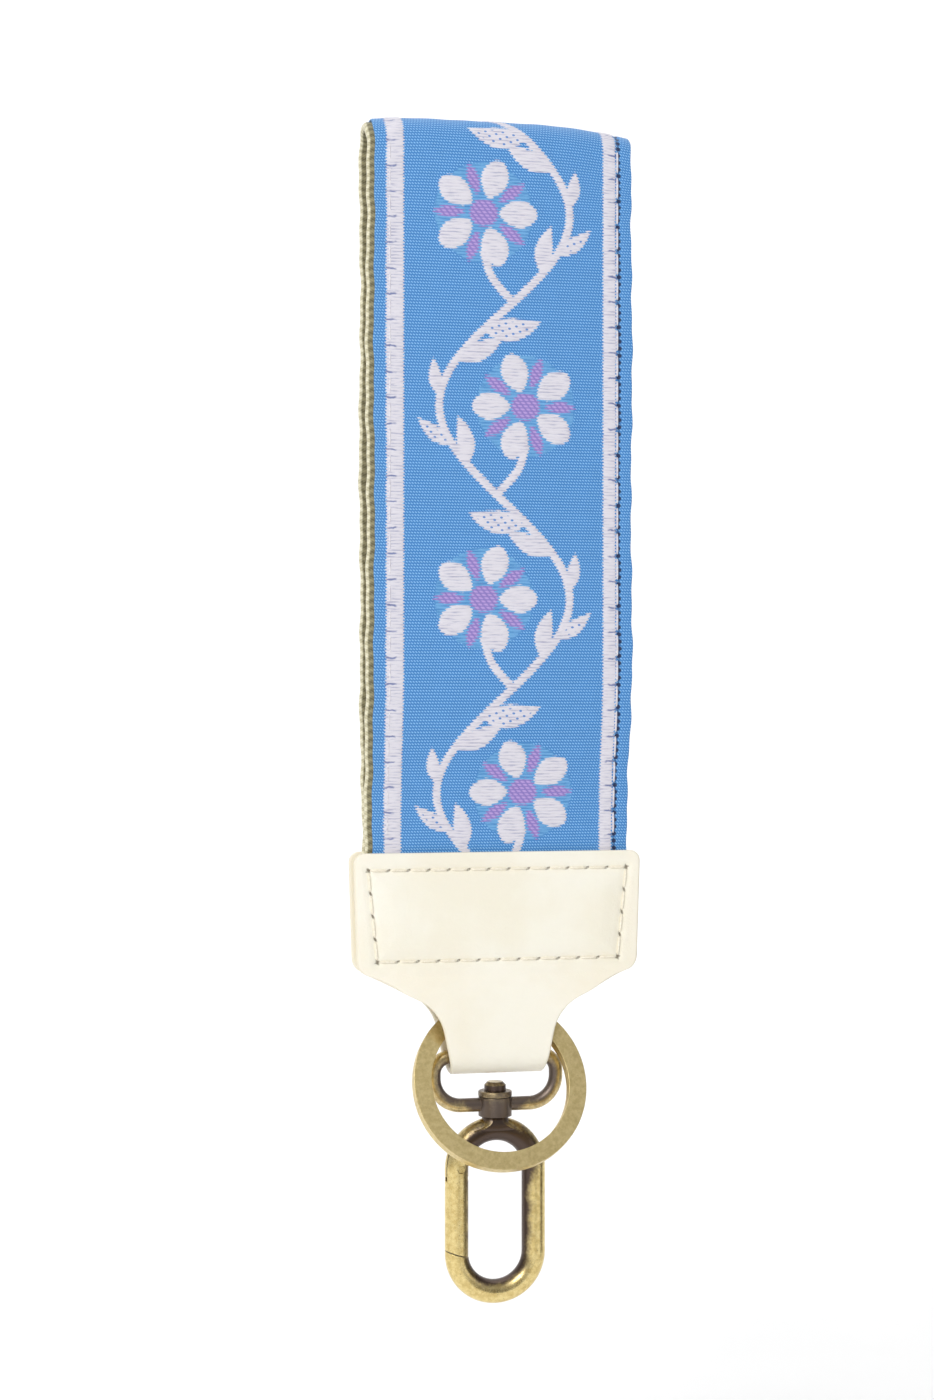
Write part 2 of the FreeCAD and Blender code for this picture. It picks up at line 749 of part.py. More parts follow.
def split_ring():
    """Two flat turns of one wire, joined by a sloping step between its two ends."""
    pitch = size("ring_turn_thick") + size("ring_turn_gap")
    opening = plain(size("ring_step_angle"))
    ring = fuse_all("Ring", [
        ring_turn("Ring_lower", ZERO, opening),
        ring_step(opening, pitch),
        ring_turn("Ring_upper", pitch, opening),
    ])
    ring.Refine = False
    stand = Rotation(Vector(1, 0, 0), 90.0 - plain(size("ring_tilt")))
    turn = stand * Rotation(Vector(0, 0, 1), plain(size("ring_step_at")))
    half_thick = turn.multVec(Vector(0, 0, plain(pitch + size("ring_turn_thick")) / 2))
    centre = Vector(plain(size("ring_shift")), -plain(size("ring_forward")), -plain(size("ring_centre")))
    ring.Placement = Placement(centre - half_thick, turn)
    node(ring, "split_ring")


def check_and_write():
    """Stop at any failed object or bad shape, then write one STEP file for each node."""
    DOC.recompute()
    for thing in DOC.Objects:
        if "Invalid" in thing.State or "Error" in thing.State:
            raise RuntimeError("%s failed: %s" % (thing.Label, thing.State))
    for thing in NODES:
        if thing.Shape.isNull() or not thing.Shape.isValid():
            raise RuntimeError("%s has no valid shape" % thing.Label)
    os.makedirs("parts", exist_ok=True)
    for thing in NODES:
        thing.Shape.exportStep("parts/%s.step" % thing.Label)
        box = thing.Shape.BoundBox
        print("%-24s solids %3d volume %9.2f  x %7.2f %7.2f  y %7.2f %7.2f  z %8.2f %8.2f" % (
            thing.Label, len(thing.Shape.Solids), thing.Shape.Volume,
            box.XMin, box.XMax, box.YMin, box.YMax, box.ZMin, box.ZMax))


fill_sheet()
backing_webbing()
jacquard_ribbon()
ribbon_stitching("ribbon_stitching_left", -1)
ribbon_stitching("ribbon_stitching_right", 1)
leather_tab()
leather_stitching()
swivel_eye()
swivel_washer()
hook_body()
gate()
gate_pin()
gate_plunger()
gate_spring()
split_ring()
check_and_write()
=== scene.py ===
"""The wristlet keychain's looks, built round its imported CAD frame.

Lengths in the shape sections are in millimetres, and mesh_piece() turns them into metres. The strap hangs
along -Z from the inside top of its loop, and its front looks towards -Y.
"""

import math

import bpy
import numpy as np
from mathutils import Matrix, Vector


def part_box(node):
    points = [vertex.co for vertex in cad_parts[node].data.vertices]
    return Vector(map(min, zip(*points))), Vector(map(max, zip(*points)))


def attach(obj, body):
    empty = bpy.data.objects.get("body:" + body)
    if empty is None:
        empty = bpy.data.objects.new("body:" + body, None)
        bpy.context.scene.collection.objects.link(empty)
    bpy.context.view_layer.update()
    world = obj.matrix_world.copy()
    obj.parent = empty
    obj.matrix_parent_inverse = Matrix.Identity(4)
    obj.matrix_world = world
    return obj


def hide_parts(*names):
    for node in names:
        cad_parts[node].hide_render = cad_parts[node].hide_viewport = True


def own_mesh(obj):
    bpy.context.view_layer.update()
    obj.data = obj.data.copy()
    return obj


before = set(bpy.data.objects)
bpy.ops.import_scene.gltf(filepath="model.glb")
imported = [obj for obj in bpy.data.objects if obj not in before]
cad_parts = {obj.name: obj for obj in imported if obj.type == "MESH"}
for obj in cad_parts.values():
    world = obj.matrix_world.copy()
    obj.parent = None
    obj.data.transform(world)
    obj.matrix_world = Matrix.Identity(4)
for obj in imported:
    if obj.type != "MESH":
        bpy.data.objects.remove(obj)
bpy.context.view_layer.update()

MM = 0.001

# strap, as in the CAD frame
LOOP_HALF_GAP = 3.0
SEAM_HALF_GAP = 0.1
TAPER_TOP = 98.0
TAPER_END = 132.0
TAPER_RADIUS = 100.4
STRAP_END = 157.0
WEBBING_WIDTH = 50.0
WEBBING_SHIFT = -0.3
WEBBING_THICK = 1.6
RIBBON_WIDTH = 49.4
RIBBON_SHIFT = 0.7
RIBBON_THICK = 0.6
SKIN = WEBBING_THICK + RIBBON_THICK
FOLD_RUN = math.pi * (LOOP_HALF_GAP + SKIN)
LAYER_GAP = 0.02
RIB_PITCH = 1.5
RIB_DEEP = 0.05
CHEVRON_WIDE = 3.0

# leather tab
LEATHER_THICK = 1.2
TAB_TOP = 135.4
TAB_CORNERS = [(27.6, 135.4, 2.0), (26.9, 157.2, 3.0), (11.4, 164.8, 9.0)]
TAB_FOOT = (8.9, 177.3)
PLY_GAP = SEAM_HALF_GAP + SKIN
PLY_SPREAD_TOP = 158.0
PLY_SPREAD_END = 161.5
TAB_FOLD_RADIUS = 3.2
TAB_FOLD_CENTRE = 172.9
STITCH_TOP = 138.6
STITCH_LOW = 155.6
STITCH_TOP_HALF = 24.8
STITCH_LOW_HALF = 23.1
TAB_STITCH_PITCH = 3.9
HOLE_SLANT = 0.35
HOLE_DEEP = 0.24
FRAME_DEEP = 0.22
PANEL_PROUD = 0.32
LEATHER_THREAD_RADIUS = 0.22

# ribbon seams
RIBBON_STITCH_PITCH = 4.8
RIBBON_STITCH_INSET = 2.9
RIBBON_STITCH_LONG = 3.9
RIBBON_THREAD_RADIUS = 0.2
THREAD_SIDES = 8

# weave
THREAD_PITCH = 0.6
MOTIF_PITCH = 36.0
FIRST_BLOSSOM = -16.0
WHITE_BANDS = [(-22.5, -19.2), (19.0, 21.5)]
NOTCHED_SEAM = (21.5, 22.7)
NOTCH_PITCH = 1.35
BAND_TICKS = (-21.6, 20.9)
FLOAT_PROUD = 0.11
NOTCHED_SEAM_DEEP = 0.2
DIMPLE_DEEP = 0.16
SWELL = 0.03

# gate spring
SPRING_WIRE = 0.3
SPRING_TURNS = 8


# --- meshes ----------------------------------------------------------------------------------------

def mesh_piece(name, points, faces, body, material, replaced=(), attributes=None):
    """A mesh object of points in mm, riding on a body, with its material and its per-point attributes."""
    mesh = bpy.data.meshes.new(name)
    mesh.from_pydata((np.asarray(points) * MM).tolist(), [], faces)
    mesh.polygons.foreach_set("use_smooth", [True] * len(mesh.polygons))
    for key, values in (attributes or {}).items():
        layer = mesh.attributes.new(key, "FLOAT", "POINT")
        layer.data.foreach_set("value", np.asarray(values, np.float32).ravel())
    mesh.materials.append(material)
    mesh.update()
    piece = bpy.data.objects.new(name, mesh)
    bpy.context.scene.collection.objects.link(piece)
    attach(piece, body)
    if replaced:
        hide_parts(*replaced)
    return piece


def smooth_step(value, low, high):
    """From 0 at low to 1 at high, with soft ends."""
    share = np.clip((value - low) / (high - low), 0.0, 1.0)
    return share * share * (3.0 - 2.0 * share)


def rolled(distance, radius):
    """How far a surface has dropped at this distance from its rounded edge."""
    inside = np.clip(radius - distance, 0.0, radius)
    return radius - np.sqrt(radius * radius - inside * inside)


def closed_band(rows, columns, rims):
    """Faces of a band whose every row is one closed loop: outer face columns, then rim points."""
    ring = columns + rims
    faces = []
    for row in range(rows - 1):
        here = row * ring
        for k in range(ring):
            after = (k + 1) % ring
            faces.append((here + k, here + after, here + ring + after, here + ring + k))
    faces.append(tuple(reversed(range(ring))))
    faces.append(tuple(range((rows - 1) * ring, rows * ring)))
    return faces


def spaced(half, pitch, edge):
    """Positions from -half to half, at a pitch, with four close ones inside each edge."""
    close = edge * np.array([0.0, 0.12, 0.35, 0.65])
    middle = np.arange(-half + edge, half - edge + pitch / 2, pitch)
    return np.concatenate([-half + close, middle, half - close[::-1]])


def band(line, outer, inner, half, shares, edge, relief):
    """A closed skin between two distances from a line.

    line is (points, normals) in the YZ plane, half the half width of each row, shares the columns from
    -1 to 1, edge the rims' radius and relief how far each point of the outer face stands out.
    """
    base, normal = line
    rows = len(base)
    across = half[:, None] * shares[None, :]
    end = np.minimum(np.arange(rows), np.arange(rows)[::-1])
    run = np.linalg.norm(np.diff(base, axis=0), axis=1).mean()
    end_drop = rolled(end * run, edge * 0.9)
    side_drop = rolled(half[:, None] - np.abs(across), edge)
    height = outer - np.maximum(side_drop, end_drop[:, None]) + relief
    angles = np.radians([0.0, 30.0, 60.0, 90.0])
    rim_across = [half - edge + edge * math.cos(a) for a in angles]
    rim_height = [np.maximum(inner + edge - edge * math.sin(a), inner + end_drop) for a in angles]
    rim_x = np.stack(rim_across + [-x for x in reversed(rim_across)], axis=1)
    rim_d = np.stack(rim_height + list(reversed(rim_height)), axis=1)
    x = np.concatenate([across, rim_x], axis=1)
    d = np.concatenate([height, rim_d], axis=1)
    y = base[:, None, 0] + d * normal[:, None, 0]
    z = base[:, None, 1] + d * normal[:, None, 1]
    return x, np.stack([x, y, z], axis=2), closed_band(rows, len(shares), rim_x.shape[1])


def gap_at(down):
    """The strap's inner half gap at this depth, and the face's slope."""
    half_way = (TAPER_TOP + TAPER_END) / 2
    into = np.where(down < half_way, down - TAPER_TOP, TAPER_END - down)
    into = np.clip(into, 0.0, half_way - TAPER_TOP)
    drop = TAPER_RADIUS - np.sqrt(TAPER_RADIUS ** 2 - into ** 2)
    gap = np.where(down < half_way, LOOP_HALF_GAP - drop, SEAM_HALF_GAP + drop)
    return gap, -into / np.sqrt(TAPER_RADIUS ** 2 - into ** 2)


def strap_line(pitch):
    """The loop's inner face: up the front, over the fold and down the back.

    Gives the points, their normals and each row's place along the strap, which equals the height on the
    front leg.
    """
    straight = STRAP_END - LOOP_HALF_GAP
    run = np.linspace(-straight, straight + FOLD_RUN, int((2 * straight + FOLD_RUN) / pitch) + 1)
    turn = np.clip(run / (LOOP_HALF_GAP + SKIN), 0.0, math.pi)
    down = LOOP_HALF_GAP + np.where(run < 0, -run, np.maximum(run - FOLD_RUN, 0.0))
    gap, slope = gap_at(down)
    side = np.where(run < FOLD_RUN / 2, -1.0, 1.0)
    length = np.sqrt(1 + slope ** 2)
    folding = (run > 0) & (run < FOLD_RUN)
    normal = np.stack([
        np.where(folding, -np.cos(turn), side / length),
        np.where(folding, np.sin(turn), slope / length),
    ], axis=1)
    base = np.stack([
        np.where(folding, LOOP_HALF_GAP * normal[:, 0], side * gap),
        np.where(folding, -LOOP_HALF_GAP + LOOP_HALF_GAP * normal[:, 1], -down),
    ], axis=1)
    return base, normal, run - LOOP_HALF_GAP


def settled(points, along):
    """The strap's points, soft as in life: the fold sags towards its two sides, and the edges wander.

    along is each row's run: the sag fades out on both legs, below the fold.
    """
    x = points[:, :, 0]
    past = np.maximum(-LOOP_HALF_GAP - along, along + LOOP_HALF_GAP - FOLD_RUN)
    fade = 1 - smooth_step(past, 0.0, 16.0)
    sag = 1.7 * np.clip((x - 6.0) / 19.0, 0, 1) ** 2 + 0.7 * np.clip((-x - 12.0) / 13.0, 0, 1) ** 2
    wander = 0.10 * np.sin(along / 2.3) + 0.08 * np.sin(along / 1.1 + 1.0) + 0.12 * np.sin(along / 9.0)
    edge = np.clip((np.abs(x) - 20.0) / 5.0, 0, 1)
    moved = points.copy()
    moved[:, :, 0] += np.sign(x) * edge * wander[:, None]
    moved[:, :, 2] -= sag * fade[:, None]
    return moved


# --- the woven pattern -----------------------------------------------------------------------------

# One repeat of a plain scroll vine round its blossom, in mm (across, along). Every second repeat is its
# mirror image. A stroke is a list of points and the list of widths at them.
VINE_SWING = 12.5
VINE_WIDTH = 1.5
BLOSSOM_AT = np.array([-4.0, 0.0])
BLOSSOM_RADIUS = 9.4
EYE_RADIUS = 2.5
PETALS = 5


def vine_at(share):
    """The vine's place at a share of the repeat, from -0.5 to 0.5."""
    return np.array([VINE_SWING * math.cos(math.pi * share), MOTIF_PITCH * share])


def vine_stroke():
    points = [vine_at(share) for share in np.linspace(-0.5, 0.5, 13)]
    return points, [VINE_WIDTH] * len(points)


def leaf(share, turn, length, width):
    """A pointed leaf that leaves the vine at an angle in degrees and curls back towards its line."""
    point = vine_at(share)
    ahead = vine_at(share + 0.01) - point
    heading = math.atan2(ahead[1], ahead[0])
    fullness = (0.2, 0.7, 1.0, 0.85, 0.5, 0.05)
    points = [point]
    for step in range(1, len(fullness)):
        angle = heading + math.radians(turn) * (1.1 - 0.14 * step)
        point = point + length / (len(fullness) - 1) * np.array([math.cos(angle), math.sin(angle)])
        points.append(point)
    return points, [width * part for part in fullness]


def ray(number, reach, widths, shift=0.0):
    """A stroke that points out from the blossom's eye, between two shares of the blossom's radius."""
    angle = 2 * math.pi * (number + shift) / PETALS
    out = np.array([math.cos(angle), math.sin(angle)])
    radii = np.linspace(reach[0], reach[1], len(widths)) * BLOSSOM_RADIUS
    return [BLOSSOM_AT + radius * out for radius in radii], list(widths)


def blossom_eye():
    step = np.array([0.2, 0.0])
    return [BLOSSOM_AT - step, BLOSSOM_AT + step], [2 * EYE_RADIUS] * 2


def blossom_stem():
    """From the vine to the blossom's lower edge."""
    foot = BLOSSOM_AT - (0.0, 0.8 * BLOSSOM_RADIUS)
    return [vine_at(-0.46), (vine_at(-0.46) + foot) / 2 - (1.2, 0.0), foot], [VINE_WIDTH] * 3


PLAIN_STROKES = [vine_stroke(), blossom_stem()]
PLAIN_STROKES += [leaf(-0.3, 45, 9.0, 3.4), leaf(0.24, 38, 10.0, 3.6), leaf(0.05, -30, 7.0, 2.6)]
PLAIN_STROKES += [ray(number, (0.42, 0.9), (2.0, 4.0, 5.2, 3.6)) for number in range(PETALS)]
SPOTTED_STROKES = [leaf(0.4, 52, 11.0, 4.4), leaf(-0.2, -32, 8.0, 2.8)]
LILAC_STROKES = [blossom_eye()]
LILAC_STROKES += [ray(number, (0.45, 1.0), (0.9, 2.2, 0.4), shift=0.5) for number in range(PETALS)]
FAR = 9.0
# Enough repeats for both legs and the fold.
REPEATS = range(-5, 6)


def smooth_path(points, pitch):
    """Points at a pitch along a Catmull-Rom curve through the given rows of numbers."""
    rows = np.asarray(points, float)
    padded = np.concatenate([2 * rows[:1] - rows[1:2], rows, 2 * rows[-1:] - rows[-2:-1]])
    found = []
    for a, b, c, d in zip(padded, padded[1:], padded[2:], padded[3:]):
        steps = max(2, int(np.linalg.norm((c - b)[:2]) / pitch))
        t = np.arange(steps)[:, None] / steps
        found.append(0.5 * (2 * b + (c - a) * t + (2 * a - 5 * b + 4 * c - d) * t ** 2
                            + (3 * b - a - 3 * c + d) * t ** 3))
    return np.concatenate(found + [rows[-1:]])


def stroke_circles(stroke):
    """The stroke as close circles: (across, along, radius)."""
    points, widths = stroke
    rows = [(x, y, width / 2) for (x, y), width in zip(points, widths)]
    return smooth_path(rows, 0.25)


def lower(field, grid, box, distance):
    """Takes the lower of the field and a distance worked out only for the grid points in a box."""
    x, v = grid
    near = (x > box[0] - FAR) & (x < box[1] + FAR) & (v > box[2] - FAR) & (v < box[3] + FAR)
    if near.any():
        field[near] = np.minimum(field[near], distance(x[near], v[near]))


def add_strokes(field, grid, strokes, centre, flip):
    for stroke in strokes:
        circles = stroke_circles(stroke) * (flip, 1, 1) + (0, centre, 0)
        box = (circles[:, 0].min(), circles[:, 0].max(), circles[:, 1].min(), circles[:, 1].max())

        def distance(x, v, circles=circles):
            best = np.full(x.shape, FAR)
            for cx, cv, radius in circles:
                best = np.minimum(best, np.hypot(x - cx, v - cv) - radius)
            return best

        lower(field, grid, box, distance)


def weave_fields(x, v):
    """Signed distances (below 0 inside) of the pale floats, spotted floats, lilac and blossom ground."""
    plain = np.full(x.shape, FAR)
    spotted = np.full(x.shape, FAR)
    lilac = np.full(x.shape, FAR)
    blossom = np.full(x.shape, FAR)
    grid = (x, v)
    for k in REPEATS:
        centre = FIRST_BLOSSOM + MOTIF_PITCH * k
        flip = -1 if k % 2 else 1
        add_strokes(plain, grid, PLAIN_STROKES, centre, flip)
        add_strokes(spotted, grid, SPOTTED_STROKES, centre, flip)
        add_strokes(lilac, grid, LILAC_STROKES, centre, flip)
        disc_x = flip * BLOSSOM_AT[0]
        blossom = np.minimum(blossom, np.hypot(x - disc_x, v - centre) - BLOSSOM_RADIUS)
    for left, right in WHITE_BANDS:
        plain = np.minimum(plain, np.abs(x - (left + right) / 2) - (right - left) / 2)
    return plain, spotted, lilac, blossom


# --- strap pieces ----------------------------------------------------------------------------------

def ribbon_relief(x, v, pale):
    """Floats stand proud, the seam is a groove, and each lockstitch pulls a dimple into the bands."""
    relief = FLOAT_PROUD * smooth_step(-pale, -0.15, 0.45)
    seam = np.abs(x - sum(NOTCHED_SEAM) / 2)
    relief -= NOTCHED_SEAM_DEEP * (1 - smooth_step(seam, 0.15, 0.5))
    stitch = (v + LOOP_HALF_GAP) / RIBBON_STITCH_PITCH % 1.0
    stitch = np.minimum(stitch, 1 - stitch) * RIBBON_STITCH_PITCH
    seam_at = RIBBON_WIDTH / 2 - RIBBON_STITCH_INSET
    across = np.minimum(np.abs(x - seam_at), np.abs(x + seam_at))
    relief -= DIMPLE_DEEP * (1 - smooth_step(np.hypot(stitch * 1.6, across * 0.6), 0.1, 0.9))
    relief += SWELL * np.sin(x * 0.9 + v * 0.35) * np.sin(v * 0.5)
    return relief


def jacquard_ribbon(material):
    base, normal, along = strap_line(0.4)
    half = np.full(len(base), RIBBON_WIDTH / 2)
    columns = spaced(RIBBON_WIDTH / 2, 0.4, 0.3)
    v = np.broadcast_to(along[:, None], (len(along), len(columns)))
    x = np.broadcast_to(columns[None, :], v.shape)
    plain, spotted, lilac, blossom = weave_fields(x, v)
    pale = np.minimum(plain, spotted)
    proud = ribbon_relief(x, v, pale)
    across, points, faces = band((base, normal), SKIN, WEBBING_THICK + LAYER_GAP, half,
                                 columns / (RIBBON_WIDTH / 2), 0.28, proud)
    rims = across.shape[1] - len(columns)
    points[:, :, 0] += RIBBON_SHIFT

    def widened(field):
        """The field with each row's rim points given the value of the face's own edges."""
        right = np.repeat(field[:, -1:], rims // 2, axis=1)
        left = np.repeat(field[:, :1], rims - rims // 2, axis=1)
        return np.concatenate([field, right, left], axis=1)

    attributes = {
        "across": across,
        "along": np.broadcast_to(along[:, None], across.shape),
        "pale": widened(pale),
        "spotted": widened(spotted),
        "lilac": widened(lilac),
        "blossom": widened(blossom),
    }
    points = settled(points, along)
    return mesh_piece("ribbon", points.reshape(-1, 3), faces, "strap", material,
                      ["jacquard_ribbon"], attributes)


def backing_webbing(material):
    """The webbing under the ribbon, with its ribbed inner face made the outer face of a reversed line."""
    base, normal, along = strap_line(0.5)
    half = np.full(len(base), WEBBING_WIDTH / 2)
    columns = spaced(WEBBING_WIDTH / 2, 0.5, 0.6)
    chevron = np.abs((columns / CHEVRON_WIDE) % 2.0 - 1.0)
    ribs = np.sin(2 * math.pi * (along[:, None] / RIB_PITCH + chevron[None, :]))
    grooves = RIB_DEEP * (ribs - 1)
    flipped = (base[::-1], -normal[::-1])
    across, points, faces = band(flipped, 0.0, -WEBBING_THICK + LAYER_GAP, half,
                                 columns / (WEBBING_WIDTH / 2), 0.6, grooves[::-1])
    points[:, :, 0] += WEBBING_SHIFT
    attributes = {
        "across": across,
        "along": np.broadcast_to(along[::-1, None], across.shape),
    }
    points = settled(points, along[::-1])
    return mesh_piece("webbing", points.reshape(-1, 3), faces, "strap", material,
                      ["backing_webbing"], attributes)


# --- threads ---------------------------------------------------------------------------------------

def thread_rings(start, end, out, radius, dip):
    """Rings of one stitch: a thread that dives at both ends, round in section."""
    start = np.asarray(start, float)
    end = np.asarray(end, float)
    out = np.asarray(out, float)
    along = (end - start) / np.linalg.norm(end - start)
    side = np.cross(along, out)
    rings = []
    for t in np.linspace(0.0, 1.0, 11):
        depth = -dip * abs(2 * t - 1) ** 5
        centre = start + (end - start) * t + out * depth
        size = radius * (1 - 0.25 * abs(2 * t - 1) ** 8)
        for k in range(THREAD_SIDES):
            angle = 2 * math.pi * k / THREAD_SIDES
            rings.append(centre + size * (math.cos(angle) * side + math.sin(angle) * out))
    return rings


def thread_piece(name, stitches, material, replaced, radius, dip):
    """All the stitches of one seam as one piece."""
    points = []
    faces = []
    for start, end, out in stitches:
        first = len(points)
        points.extend(thread_rings(start, end, out, radius, dip))
        rings = (len(points) - first) // THREAD_SIDES
        for face in closed_band(rings, THREAD_SIDES, 0):
            faces.append(tuple(first + corner for corner in face))
    return mesh_piece(name, points, faces, "strap", material, replaced)


def ribbon_seam(name, side, material, replaced):
    """Lockstitches down one white band, front and back, from under the fold to the leather."""
    x = RIBBON_SHIFT + side * (RIBBON_WIDTH / 2 - RIBBON_STITCH_INSET)
    stitches = []
    for face_side in (-1, 1):
        down = LOOP_HALF_GAP + RIBBON_STITCH_PITCH / 2
        while down < TAB_TOP - RIBBON_STITCH_PITCH:
            ends = []
            for at in (down - RIBBON_STITCH_LONG / 2, down + RIBBON_STITCH_LONG / 2):
                gap, _ = gap_at(np.array(at))
                ends.append((x, face_side * (float(gap) + SKIN + LAYER_GAP), -at))
            slope = float(gap_at(np.array(down))[1])
            out = np.array([0.0, face_side, slope]) / math.hypot(1.0, slope)
            stitches.append((ends[0], ends[1], out))
            down += RIBBON_STITCH_PITCH
    return thread_piece(name, stitches, material, replaced,
                        RIBBON_THREAD_RADIUS, 0.22)


# --- leather tab -----------------------------------------------------------------------------------

def tab_outline():
    """(half width, depth) down one edge of the tab, with its three corners rounded."""
    corners = [(0.0, TAB_TOP)] + [(w, d) for w, d, _ in TAB_CORNERS] + [TAB_FOOT]
    corners = [np.array(c, float) for c in corners]
    edge = [corners[0]]
    for before, at, after, (_, _, radius) in zip(corners, corners[1:], corners[2:], TAB_CORNERS):
        back = (before - at) / np.linalg.norm(before - at)
        on = (after - at) / np.linalg.norm(after - at)
        bend = math.acos(np.clip(back @ on, -1, 1))
        reach = radius / math.tan(bend / 2)
        start = at + back * reach
        stop = at + on * reach
        centre = at + (back + on) / np.linalg.norm(back + on) * radius / math.sin(bend / 2)
        for t in np.linspace(0, 1, 25):
            spoke = start * (1 - t) + stop * t - centre
            edge.append(centre + spoke / np.linalg.norm(spoke) * radius)
    edge.append(corners[-1])
    return np.array(edge)


def tab_rows(pitch):
    """Depths of the rows on one ply: close together by the top edge, then at the pitch."""
    close = TAB_TOP + np.array([0.0, 0.05, 0.15, 0.3, 0.5])
    return np.concatenate([close, np.arange(TAB_TOP + 0.7, TAB_FOLD_CENTRE, pitch), [TAB_FOLD_CENTRE]])


def tab_line(pitch):
    """The tab's inner face: down the front ply, round the fold, up the back ply. Also each row's depth."""
    down = tab_rows(pitch)
    spread = smooth_step(down, PLY_SPREAD_TOP, PLY_SPREAD_END)
    gap = PLY_GAP + (TAB_FOLD_RADIUS - PLY_GAP) * spread
    slope = np.gradient(gap, down)
    length = np.sqrt(1 + slope ** 2)
    front = np.stack([-gap, -down], axis=1)
    front_normal = np.stack([-1 / length, slope / length], axis=1)
    turn = np.linspace(0, math.pi, 33)[1:-1]
    fold_normal = np.stack([-np.cos(turn), -np.sin(turn)], axis=1)
    fold = TAB_FOLD_RADIUS * fold_normal + (0.0, -TAB_FOLD_CENTRE)
    back = front[::-1] * (-1, 1)
    back_normal = front_normal[::-1] * (-1, 1)
    base = np.concatenate([front, fold, back])
    normal = np.concatenate([front_normal, fold_normal, back_normal])
    depth = TAB_FOLD_CENTRE + (TAB_FOLD_RADIUS + LEATHER_THICK) * np.sin(turn)
    return base, normal, np.concatenate([down, depth, down[::-1]])


def stitch_half(down):
    """Half the stitched frame's width at a depth."""
    share = (down - STITCH_TOP) / (STITCH_LOW - STITCH_TOP)
    return STITCH_TOP_HALF + (STITCH_LOW_HALF - STITCH_TOP_HALF) * share


def frame_stitches():
    """Ends of the frame's stitches as (across, depth) pairs, the same on both plies."""
    found = []
    for down, half in ((STITCH_TOP, STITCH_TOP_HALF), (STITCH_LOW, STITCH_LOW_HALF)):
        count = round(2 * half / TAB_STITCH_PITCH)
        edges = np.linspace(-half, half, count + 1)
        found += [((a, down), (b, down)) for a, b in zip(edges, edges[1:])]
    count = round((STITCH_LOW - STITCH_TOP) / TAB_STITCH_PITCH)
    depths = np.linspace(STITCH_TOP, STITCH_LOW, count + 1)
    for side in (-1, 1):
        found += [((side * stitch_half(a), a), (side * stitch_half(b), b))
                  for a, b in zip(depths, depths[1:])]
    return found


def tab_relief(x, depth):
    """The stitched groove, the padded panel inside it and the puckers at the needle holes."""
    side = np.abs(x) - stitch_half(depth)
    end = np.maximum(STITCH_TOP - depth, depth - STITCH_LOW)
    frame_distance = np.maximum(side, end)
    on_frame = np.abs(frame_distance)
    relief = -FRAME_DEEP * (1 - smooth_step(on_frame, 0.1, 1.3))
    relief += PANEL_PROUD * smooth_step(-frame_distance, 0.4, 4.5)
    near = np.full(x.shape, FAR)
    for start, end in frame_stitches():
        along = np.subtract(end, start) / np.linalg.norm(np.subtract(end, start))
        for hx, hd in (start, end):
            run = (x - hx) * along[0] + (depth - hd) * along[1]
            off = (depth - hd) * along[0] - (x - hx) * along[1] + run * HOLE_SLANT
            near = np.minimum(near, np.hypot(run * 0.75, off * 1.7))
    relief -= HOLE_DEEP * (1 - smooth_step(near, 0.05, 0.8))
    return relief, near


def leather_tab(material):
    base, normal, depth = tab_line(0.34)
    edge = tab_outline()
    half = np.interp(depth, edge[:, 1], edge[:, 0])
    half[0] = half[-1] = np.interp(TAB_TOP + 0.01, edge[:, 1], edge[:, 0])
    shares = spaced(1.0, 0.0125, 0.02)
    x = half[:, None] * shares[None, :]
    deep = np.broadcast_to(depth[:, None], x.shape)
    relief, near = tab_relief(x, deep)
    across, points, faces = band((base, normal), LEATHER_THICK, LAYER_GAP, half, shares, 0.42, relief)
    rims = across.shape[1] - len(shares)
    far = np.full((len(half), rims), FAR)
    edge_gap = np.concatenate([half[:, None] - np.abs(x), np.zeros((len(half), rims))], axis=1)
    attributes = {"hole": np.concatenate([near, far], axis=1), "edge": edge_gap}
    return mesh_piece("leather_tab_shape", points.reshape(-1, 3), faces, "strap", material,
                      ["leather_tab"], attributes)


def leather_seam(material):
    """The frame's stitches on both plies."""
    stitches = []
    for face_side in (-1, 1):
        y = face_side * (PLY_GAP + LEATHER_THICK - 0.1)
        for (ax, ad), (bx, bd) in frame_stitches():
            start = np.array([ax, y, -ad])
            end = np.array([bx, y, -bd])
            inset = (end - start) * 0.09
            stitches.append((start + inset, end - inset, (0.0, face_side, 0.0)))
    return thread_piece("leather_thread", stitches, material, ["leather_stitching"],
                        LEATHER_THREAD_RADIUS, 0.3)


# --- materials -------------------------------------------------------------------------------------

